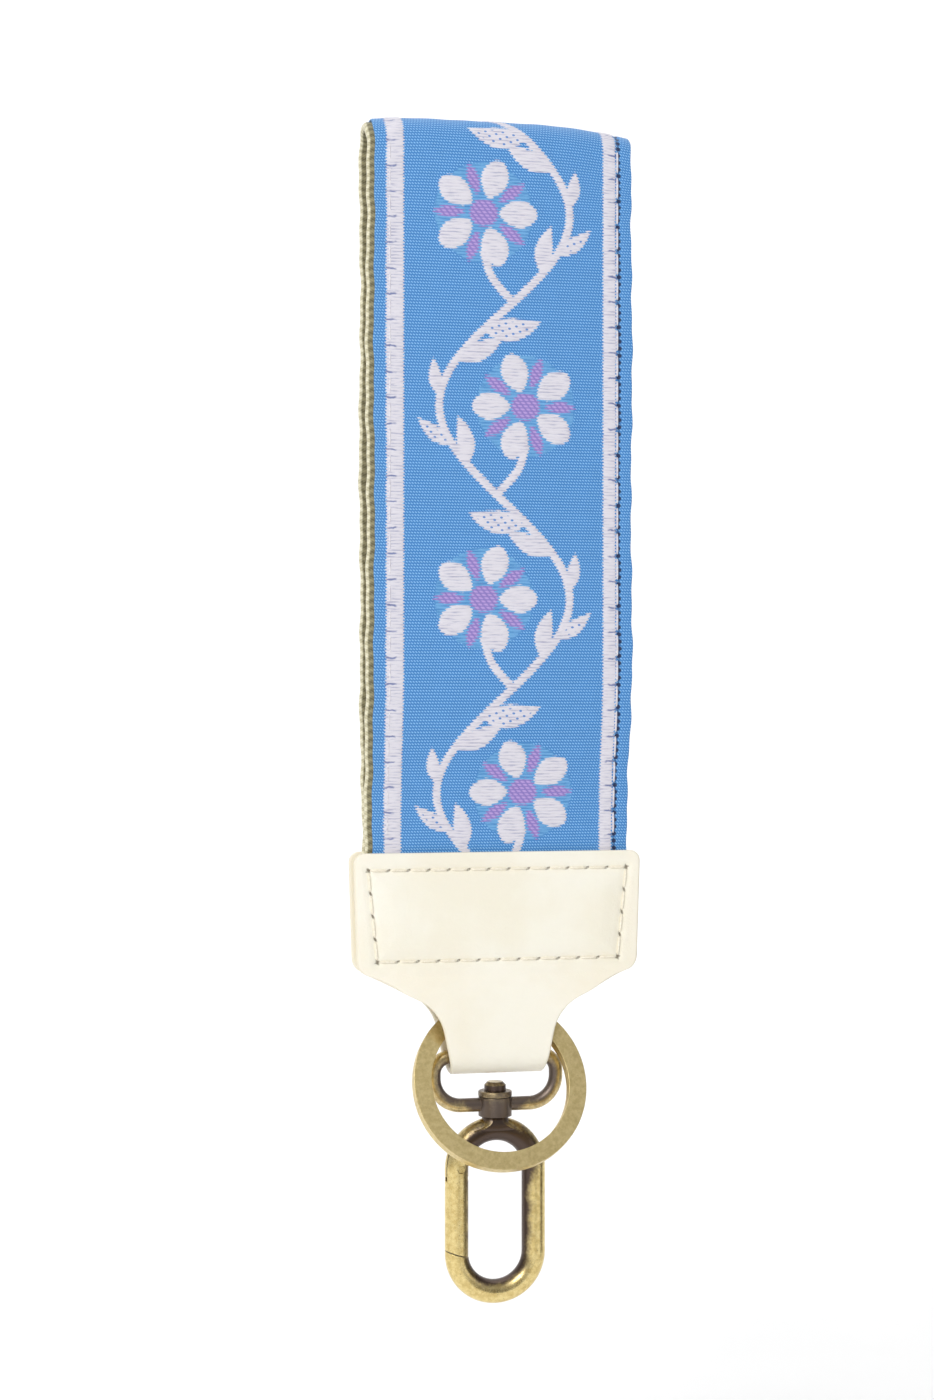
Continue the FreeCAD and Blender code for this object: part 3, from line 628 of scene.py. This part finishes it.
class Shader:
    """A material's node tree, built by short calls that each give an output socket."""

    def __init__(self, name):
        self.material = bpy.data.materials.new(name)
        self.material.use_nodes = True
        self.tree = self.material.node_tree
        self.tree.nodes.clear()

    def node(self, kind, **settings):
        made = self.tree.nodes.new("ShaderNode" + kind)
        for key, value in settings.items():
            setattr(made, key, value)
        return made

    def put(self, socket, value):
        if isinstance(value, bpy.types.NodeSocket):
            self.tree.links.new(value, socket)
        else:
            socket.default_value = value

    def math(self, operation, *values):
        made = self.node("Math", operation=operation)
        for socket, value in zip(made.inputs, values):
            self.put(socket, value)
        return made.outputs[0]

    def attribute(self, name):
        return self.node("Attribute", attribute_name=name).outputs["Fac"]

    def place(self):
        """Object coordinates in mm."""
        coordinates = self.node("TexCoord").outputs["Object"]
        made = self.node("Mapping")
        made.inputs["Scale"].default_value = [1 / MM] * 3
        self.put(made.inputs["Vector"], coordinates)
        return made.outputs[0]

    def joined(self, x, y, z=0.0):
        made = self.node("CombineXYZ")
        for socket, value in zip(made.inputs, (x, y, z)):
            self.put(socket, value)
        return made.outputs[0]

    def noise(self, vector, scale, detail=3.0, roughness=0.55):
        made = self.node("TexNoise")
        self.put(made.inputs["Vector"], vector)
        made.inputs["Scale"].default_value = scale
        made.inputs["Detail"].default_value = detail
        made.inputs["Roughness"].default_value = roughness
        return made.outputs["Fac"]

    def cells(self, vector, scale):
        made = self.node("TexVoronoi")
        self.put(made.inputs["Vector"], vector)
        made.inputs["Scale"].default_value = scale
        return made.outputs["Distance"]

    def between(self, value, low, high, start=0.0, stop=1.0):
        """value run smoothly from start at low to stop at high."""
        made = self.node("MapRange", interpolation_type="SMOOTHSTEP")
        for socket, number in zip(made.inputs, (value, low, high, start, stop)):
            self.put(socket, number)
        return made.outputs[0]

    def mix(self, share, low, high):
        made = self.node("Mix", data_type="RGBA")
        self.put(made.inputs[0], share)
        self.put(made.inputs[6], low)
        self.put(made.inputs[7], high)
        return made.outputs[2]

    def soft_edges(self, radius):
        """The surface's normal with its sharp edges rounded, to a radius in mm."""
        made = self.node("Bevel", samples=6)
        made.inputs["Radius"].default_value = radius * MM
        return made.outputs[0]

    def bump(self, height, distance, strength=1.0, normal=None):
        made = self.node("Bump")
        made.inputs["Strength"].default_value = strength
        made.inputs["Distance"].default_value = distance * MM
        self.put(made.inputs["Height"], height)
        if normal is not None:
            self.put(made.inputs["Normal"], normal)
        return made.outputs[0]

    def vector(self, operation, a, b=None):
        made = self.node("VectorMath", operation=operation)
        self.put(made.inputs[0], a)
        if b is not None:
            self.put(made.inputs[1], b)
        return made.outputs["Value" if operation in ("DOT_PRODUCT", "LENGTH") else "Vector"]

    def height(self):
        """Object height, in metres."""
        split = self.node("SeparateXYZ")
        self.put(split.inputs[0], self.node("TexCoord").outputs["Object"])
        return split.outputs[2]

    def off_axis(self):
        """Distance from the upright axis, in metres."""
        flat = self.vector("MULTIPLY", self.node("TexCoord").outputs["Object"], (1.0, 1.0, 0.0))
        return self.vector("LENGTH", flat)

    def towards(self, core):
        """From -1 to 1: how squarely a face looks at the nearest point of an upright line, in mm."""
        coordinates = self.node("TexCoord")
        place = coordinates.outputs["Object"]
        height = self.math("MINIMUM", self.math("MAXIMUM", self.height(), core[0] * MM), core[1] * MM)
        aim = self.vector("NORMALIZE", self.vector("SUBTRACT", self.joined(0.0, 0.0, height), place))
        return self.vector("DOT_PRODUCT", aim, coordinates.outputs["Normal"])

    def finish(self, colour, roughness, normal=None, **extra):
        shade = self.node("BsdfPrincipled")
        self.put(shade.inputs["Base Color"], colour)
        self.put(shade.inputs["Roughness"], roughness)
        if normal is not None:
            self.put(shade.inputs["Normal"], normal)
        for key, value in extra.items():
            self.put(shade.inputs[key.replace("_", " ")], value)
        output = self.node("OutputMaterial")
        self.tree.links.new(shade.outputs[0], output.inputs["Surface"])
        return self.material


def rgb(red, green, blue):
    """An sRGB colour from 0 to 255 as the linear colour that sockets take."""
    def linear(part):
        part /= 255.0
        return part / 12.92 if part <= 0.04045 else ((part + 0.055) / 1.055) ** 2.4
    return (linear(red), linear(green), linear(blue), 1.0)


def wave(shader, value, pitch):
    """A wave from 0 to 1 along value, with its crest in the middle of each pitch."""
    turns = shader.math("MULTIPLY", value, 2 * math.pi / pitch)
    return shader.math("MULTIPLY_ADD", shader.math("COSINE", turns), -0.5, 0.5)


def ribbon_material():
    """Pale floats, lilac and blue satin on a blue ground, each with its own threads."""
    s = Shader("jacquard_weave")
    x = s.attribute("across")
    v = s.attribute("along")
    thread = wave(s, v, THREAD_PITCH)
    tooth = s.math("MULTIPLY_ADD", thread, 0.34, -0.17)
    wobble = s.math("MULTIPLY_ADD", s.noise(s.joined(x, v), 1.3, 2.0), 0.36, -0.18)
    tooth = s.math("ADD", tooth, wobble)

    def inside(name, ragged=1.0):
        edge = s.math("MULTIPLY_ADD", tooth, ragged, s.attribute(name))
        return s.between(edge, 0.06, -0.06)

    streaks = s.noise(s.joined(s.math("MULTIPLY", x, 0.35), s.math("MULTIPLY", v, 3.2)), 1.0, 3.0)
    fuzz = s.noise(s.joined(x, v), 6.0, 4.0, 0.7)

    ground_row = wave(s, v, THREAD_PITCH * 0.9)
    diagonal = s.math("ADD", x, s.math("MULTIPLY", v, 0.83))
    dash = s.math("MULTIPLY", wave(s, diagonal, 0.55), ground_row)
    dash = s.between(s.math("ADD", dash, s.math("MULTIPLY", fuzz, 0.25)), 0.2, 0.85)
    ground = s.mix(dash, rgb(62, 130, 200), rgb(142, 198, 242))

    satin_row = s.math("ADD", s.math("MULTIPLY", thread, 0.28), s.math("MULTIPLY", fuzz, 0.5))
    satin_row = s.between(s.math("ADD", satin_row, streaks), 0.6, 1.1)
    satin = s.mix(satin_row, rgb(70, 136, 200), rgb(114, 176, 226))
    brick = s.math("MULTIPLY", wave(s, diagonal, 1.1), thread)
    lilac = s.mix(s.between(s.math("ADD", brick, fuzz), 0.3, 1.15), rgb(132, 114, 192), rgb(186, 160, 220))

    shaded_row = s.math("ADD", s.math("MULTIPLY", thread, 0.2), s.math("MULTIPLY", fuzz, 0.2))
    shaded_row = s.between(s.math("ADD", shaded_row, streaks), 0.4, 0.72)
    pale = s.mix(shaded_row, rgb(170, 170, 196), rgb(224, 221, 230))
    pin_across = wave(s, s.math("MULTIPLY_ADD", v, 0.75, x), 1.65)
    pin_along = wave(s, s.math("MULTIPLY_ADD", x, -0.35, v), 1.2)
    pin = s.between(s.math("MULTIPLY", pin_across, pin_along), 0.62, 0.78)
    pin = s.math("MULTIPLY", pin, s.between(s.attribute("spotted"), -0.5, -0.8))
    pale = s.mix(pin, pale, rgb(96, 140, 204))

    colour = s.mix(inside("blossom"), ground, satin)
    colour = s.mix(inside("lilac", 1.5), colour, lilac)
    is_pale = inside("pale")
    colour = s.mix(is_pale, colour, pale)

    # The lockstitches pull a short grey tick into both white bands.
    drift = s.math("MULTIPLY_ADD", s.noise(s.joined(x, v), 0.5, 3.0), 1.2, -0.6)
    tick = s.math("PINGPONG", s.math("ADD", s.math("ADD", v, LOOP_HALF_GAP), drift), RIBBON_STITCH_PITCH / 2)
    tick = s.between(tick, 0.26, 0.06)
    on_left = s.between(s.math("ABSOLUTE", s.math("SUBTRACT", x, BAND_TICKS[0])), 1.3, 0.7)
    on_right = s.between(s.math("ABSOLUTE", s.math("SUBTRACT", x, BAND_TICKS[1])), 1.2, 0.6)
    tick = s.math("MULTIPLY", tick, s.math("ADD", on_left, on_right))
    tick = s.math("MULTIPLY", tick, s.between(s.noise(s.joined(x, v), 0.6, 1.0), 0.28, 0.5, 0.25, 0.95))
    colour = s.mix(tick, colour, rgb(112, 124, 170))

    # The right band ends in a groove beside the selvage, with painted shade along it and in a row of notches
    # on it.
    seam_x = s.math("SUBTRACT", x, sum(NOTCHED_SEAM) / 2)
    notch_shade = s.math("PINGPONG", v, NOTCH_PITCH / 2)
    notch_shade = s.math("SQRT", s.math("ADD", s.math("POWER", seam_x, 2.0), s.math("POWER", notch_shade, 2.0)))
    notch_shade = s.between(s.math("MULTIPLY_ADD", fuzz, 0.14, notch_shade), 0.62, 0.4)
    # Painted shade along the middle of the groove.
    groove_shade = s.between(s.math("ABSOLUTE", seam_x), 0.3, 0.08, 0.0, 0.55)
    colour = s.mix(s.math("MAXIMUM", notch_shade, groove_shade), colour, rgb(28, 46, 86))

    height = s.math("ADD", s.math("MULTIPLY", thread, s.math("MULTIPLY_ADD", is_pale, 0.4, 0.15)),
                    s.math("MULTIPLY", dash, s.math("SUBTRACT", 0.45, s.math("MULTIPLY", is_pale, 0.45))))
    height = s.math("ADD", height, s.math("MULTIPLY", streaks, 0.5))
    normal = s.bump(height, 0.16, 0.75)
    roughness = s.math("MULTIPLY_ADD", is_pale, -0.12, 0.68)
    return s.finish(colour, roughness, normal, Sheen_Weight=0.25, Sheen_Roughness=0.4)


def webbing_material():
    """Cotton webbing, ribbed in chevrons: cream, with painted shade that darkens its inner face to olive and
    leaves its edges cream.
    """
    s = Shader("cream_webbing")
    x = s.attribute("across")
    v = s.attribute("along")
    chevron = s.math("PINGPONG", s.math("MULTIPLY", x, 1 / CHEVRON_WIDE), 1.0)
    rib = wave(s, s.math("MULTIPLY_ADD", chevron, RIB_PITCH, v), RIB_PITCH)
    yarn = wave(s, s.math("MULTIPLY_ADD", x, 0.6, v), 0.5)
    fuzz = s.noise(s.joined(x, v), 5.0, 5.0, 0.7)
    shade = s.math("ADD", s.math("MULTIPLY", rib, 0.5), s.math("MULTIPLY", yarn, 0.25))
    shade = s.between(s.math("ADD", shade, s.math("MULTIPLY", fuzz, 0.5)), 0.2, 1.0)
    # Painted shade: away from its edges the cream cloth is darkened to olive.
    cloth_in_painted_shade = s.mix(shade, rgb(108, 102, 74), rgb(164, 156, 120))
    edge = s.between(s.math("ABSOLUTE", x), WEBBING_WIDTH / 2 - 0.6, WEBBING_WIDTH / 2 - 0.25)
    rim = s.mix(shade, rgb(196, 188, 152), rgb(240, 234, 206))
    colour = s.mix(edge, cloth_in_painted_shade, rim)
    normal = s.bump(shade, 0.22, 0.8)
    return s.finish(colour, 0.9, normal, Sheen_Weight=0.3, Sheen_Roughness=0.5)


def thread_material(name, low, high):
    """Twisted thread: fine plies across its length."""
    s = Shader(name)
    place = s.place()
    twist = s.noise(place, 2.4, 3.0, 0.6)
    ply = s.cells(place, 3.0)
    colour = s.mix(s.between(twist, 0.3, 0.7), low, high)
    return s.finish(colour, 0.75, s.bump(ply, 0.08, 0.6), Sheen_Weight=0.2)


def leather_material():
    """Ivory leather: fine grain, faint stains, painted shade in the needle holes and a buffed edge."""
    s = Shader("ivory_leather")
    place = s.place()
    grain = s.cells(place, 1.9)
    pores = s.noise(place, 3.2, 5.0, 0.65)
    clouds = s.noise(place, 0.06, 3.0)
    height = s.math("ADD", s.math("MULTIPLY", grain, 0.5), s.math("MULTIPLY", pores, 0.6))
    colour = s.mix(s.between(clouds, 0.35, 0.7), rgb(254, 248, 232), rgb(250, 242, 222))
    colour = s.mix(s.between(pores, 0.62, 0.8, 0.0, 0.25), colour, rgb(226, 214, 188))
    rim = s.between(s.attribute("edge"), 0.55, 0.0, 0.0, 0.7)
    colour = s.mix(rim, colour, rgb(232, 222, 198))
    # Painted shade in the needle holes.
    hole = s.between(s.attribute("hole"), 0.62, 0.2, 0.0, 0.9)
    colour = s.mix(hole, colour, rgb(104, 92, 72))
    roughness = s.between(pores, 0.3, 0.7, 0.42, 0.6)
    return s.finish(colour, roughness, s.bump(height, 0.09, 0.6), Subsurface_Weight=0.05)


def brass_material(name, tones, patina, roughness, core=None, dark_top=None, dark_middle=None):
    """Antiqued brass: handling has rubbed the dark patina off the faces that stand out.

    tones are the bright metal, the dull metal and the patina, and patina is how much of that is left,
    from 0 to 1. core is a line (low z, high z) in mm on the part's axis: faces that look towards it keep
    the most. The patina also thickens upwards between the two heights of dark_top, and inwards between
    the two distances from the axis of dark_middle.
    """
    bright, dull, dark = tones
    s = Shader(name)
    place = s.place()
    patches = s.noise(place, 0.3, 3.0, 0.55)
    speckle = s.noise(place, 2.4, 5.0, 0.7)
    grain = s.noise(place, 1.1, 5.0, 0.65)
    cover = s.math("MULTIPLY_ADD", patches, 0.5, patina - 0.25)
    cover = s.math("ADD", cover, s.math("MULTIPLY_ADD", speckle, 0.3, -0.15))
    if core:
        cover = s.math("ADD", cover, s.math("MULTIPLY", s.towards(core), 0.5))
    if dark_top:
        cover = s.math("ADD", cover, s.between(s.height(), dark_top[0] * MM, dark_top[1] * MM, 0.0, 0.62))
    if dark_middle:
        thick = s.between(s.off_axis(), dark_middle[0] * MM, dark_middle[1] * MM, 0.0, 0.5)
        cover = s.math("ADD", cover, thick)
    cover = s.between(cover, 0.34, 0.84)
    colour = s.mix(s.between(grain, 0.32, 0.68), dull, bright)
    colour = s.mix(cover, colour, dark)
    pits = s.between(s.cells(place, 0.9), 0.14, 0.05)
    colour = s.mix(s.math("MULTIPLY", pits, 0.4), colour, dark)
    rough = s.math("ADD", s.math("MULTIPLY", speckle, 0.12), s.math("MULTIPLY_ADD", cover, 0.1, roughness))
    height = s.math("SUBTRACT", s.math("MULTIPLY_ADD", grain, 0.3, speckle), pits)
    normal = s.bump(height, 0.03, 0.35, s.soft_edges(0.16))
    return s.finish(colour, rough, normal, Metallic=1.0)


def steel_material():
    """Plain spring steel wire, lightly oiled."""
    s = Shader("spring_steel")
    place = s.place()
    drawn = s.noise(place, 4.0, 3.0)
    colour = s.mix(drawn, rgb(120, 118, 114), rgb(190, 188, 182))
    return s.finish(colour, 0.35, s.bump(drawn, 0.02, 0.4), Metallic=1.0)


# --- hard parts ------------------------------------------------------------------------------------

def coil_spring(material):
    """The gate's spring, which its follower shortens as the gate opens; here it is one fixed coil that rides
    on the gate.
    """
    low, high = (np.array(corner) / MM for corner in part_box("gate_spring"))
    wire = SPRING_WIRE / 2
    radius = (high[0] - low[0]) / 2 - wire
    turn = np.linspace(0.0, 2 * math.pi * SPRING_TURNS, 24 * SPRING_TURNS)
    out = np.stack([np.cos(turn), np.sin(turn), np.zeros_like(turn)], axis=1)
    middle = radius * out
    middle[:, 0] += (low[0] + high[0]) / 2
    middle[:, 1] += (low[1] + high[1]) / 2
    middle[:, 2] = np.linspace(low[2] + wire, high[2] - wire, len(turn))
    up = np.array([0.0, 0.0, 1.0])
    sides = np.radians(np.arange(0, 360, 36))[None, :, None]
    points = middle[:, None] + wire * (np.sin(sides) * out[:, None] + np.cos(sides) * up)
    faces = closed_band(len(turn), sides.size, 0)
    piece = mesh_piece("coil_spring", points.reshape(-1, 3), faces, "gate", material,
                       ["gate_spring"])
    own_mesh(piece)


def dress(node, material):
    """A CAD node with its own material."""
    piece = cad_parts[node]
    piece.data.materials.clear()
    piece.data.materials.append(material)


# --- camera, floor and light -----------------------------------------------------------------------

CAMERA_TURN = math.radians(-12.0)
CAMERA_AWAY = 0.425
CAMERA_AIM_DOWN = 0.1069
CAMERA_AIM_LEFT = 0.0053
FIELD_HIGH = math.radians(34.6)


def photo_camera():
    data = bpy.data.cameras.new("camera")
    data.sensor_fit = "VERTICAL"
    data.sensor_height = 24.0
    data.lens = 12.0 / math.tan(FIELD_HIGH / 2)
    data.clip_start = 0.01
    camera = bpy.data.objects.new("camera", data)
    bpy.context.scene.collection.objects.link(camera)
    back = Vector((math.sin(CAMERA_TURN), -math.cos(CAMERA_TURN), 0.0))
    right = Vector((math.cos(CAMERA_TURN), math.sin(CAMERA_TURN), 0.0))
    aim = Vector((0.0, 0.0, -CAMERA_AIM_DOWN)) - right * CAMERA_AIM_LEFT
    camera.location = aim + back * CAMERA_AWAY
    camera.rotation_euler = (-back).to_track_quat("-Z", "Y").to_euler()
    bpy.context.scene.camera = camera


def backdrop():
    """A plain pale floor that curves up into a wall behind the hanging strap."""
    s = Shader("pale_paper")
    tone = s.noise(s.place(), 0.02, 2.0)
    material = s.finish(s.mix(tone, rgb(250, 250, 250), rgb(255, 255, 255)), 0.9)
    floor = -0.32
    bend = 0.5
    wall = 1.6
    profile = [(-4.0, floor), (wall - bend, floor)]
    for angle in np.radians(np.arange(10, 91, 10)):
        profile.append((wall - bend + bend * math.sin(angle), floor + bend - bend * math.cos(angle)))
    profile.append((wall, 4.0))
    points = [(x, y, z) for y, z in profile for x in (-5.0, 5.0)]
    faces = [(2 * k, 2 * k + 1, 2 * k + 3, 2 * k + 2) for k in range(len(profile) - 1)]
    mesh = bpy.data.meshes.new("backdrop")
    mesh.from_pydata(points, [], faces)
    mesh.polygons.foreach_set("use_smooth", [True] * len(mesh.polygons))
    mesh.materials.append(material)
    paper = bpy.data.objects.new("backdrop", mesh)
    bpy.context.scene.collection.objects.link(paper)


def soft_box(name, place, aim, size, power):
    data = bpy.data.lights.new(name, "AREA")
    data.shape = "RECTANGLE"
    data.size, data.size_y = size
    data.energy = power
    lamp = bpy.data.objects.new(name, data)
    bpy.context.scene.collection.objects.link(lamp)
    lamp.location = place
    lamp.rotation_euler = (Vector(aim) - Vector(place)).to_track_quat("-Z", "Y").to_euler()


def dark_card(name, place, aim, size):
    """A black card for the metal to mirror. The camera never sees the card itself."""
    s = Shader(name)
    fibres = s.noise(s.place(), 0.05, 2.0)
    material = s.finish(s.mix(fibres, rgb(20, 20, 20), rgb(34, 33, 32)), 0.8)
    width, height = size
    points = [(x * width / 2, y * height / 2, 0.0) for x, y in ((-1, -1), (1, -1), (1, 1), (-1, 1))]
    mesh = bpy.data.meshes.new(name)
    mesh.from_pydata(points, [], [(0, 1, 2, 3)])
    mesh.materials.append(material)
    card = bpy.data.objects.new(name, mesh)
    bpy.context.scene.collection.objects.link(card)
    card.location = place
    card.rotation_euler = (Vector(aim) - Vector(place)).to_track_quat("-Z", "Y").to_euler()
    card.visible_camera = False


def lights():
    world = bpy.data.worlds.new("studio")
    world.use_nodes = True
    world.node_tree.nodes["Background"].inputs["Color"].default_value = (1.0, 1.0, 1.0, 1.0)
    world.node_tree.nodes["Background"].inputs["Strength"].default_value = 0.46
    bpy.context.scene.world = world
    middle = (0.0, 0.0, -0.1)
    soft_box("key", (-0.55, -0.75, 0.45), middle, (0.5, 0.5), 6.4)
    soft_box("fill", (0.8, -0.5, 0.1), middle, (0.6, 0.8), 1.4)
    dark_card("card_right", (0.42, -0.12, -0.15), middle, (0.22, 0.6))
    dark_card("card_front", (0.16, -0.75, -0.2), middle, (0.16, 0.9))
    soft_box("wall", (0.0, 0.5, 1.2), (0.0, 1.6, 0.2), (2.5, 1.0), 18.0)


# --- putting it together ---------------------------------------------------------------------------

jacquard_ribbon(ribbon_material())
backing_webbing(webbing_material())
ribbon_thread = thread_material("ribbon_thread", rgb(202, 198, 212), rgb(240, 238, 240))
ribbon_seam("ribbon_thread_left", -1, ribbon_thread, ["ribbon_stitching_left"])
ribbon_seam("ribbon_thread_right", 1, ribbon_thread, ["ribbon_stitching_right"])
leather_tab(leather_material())
leather_seam(thread_material("leather_thread", rgb(238, 230, 208), rgb(250, 243, 226)))

HOOK_CORE = (-211.2, -197.0)
EYE_CORE = (-178.0, -176.0)

brass = (rgb(240, 219, 156), rgb(212, 187, 122), rgb(90, 77, 70))
dark_brass = (rgb(222, 200, 146), rgb(176, 156, 116), rgb(112, 100, 92))
flat_brass = (rgb(232, 212, 156), rgb(212, 191, 134), rgb(172, 152, 108))
cast = brass_material("cast_antique_brass", brass, 0.46, 0.2, core=HOOK_CORE, dark_top=(-201.0, -190.0))
rubbed = brass_material("rubbed_antique_brass", brass, 0.3, 0.22, core=HOOK_CORE)
looped = brass_material("dark_antique_brass", dark_brass, 0.6, 0.26, core=EYE_CORE, dark_middle=(6.5, 4.0))
riveted = brass_material("blackened_brass", dark_brass, 0.72, 0.26)
brushed = brass_material("brushed_brass", flat_brass, 0.36, 0.33)
dress("hook_body", cast)
dress("gate", rubbed)
dress("gate_pin", rubbed)
dress("swivel_eye", looped)
dress("swivel_washer", riveted)
dress("gate_plunger", riveted)
dress("split_ring", brushed)
coil_spring(steel_material())

photo_camera()
backdrop()
lights()
bpy.context.scene.view_settings.view_transform = "Standard"
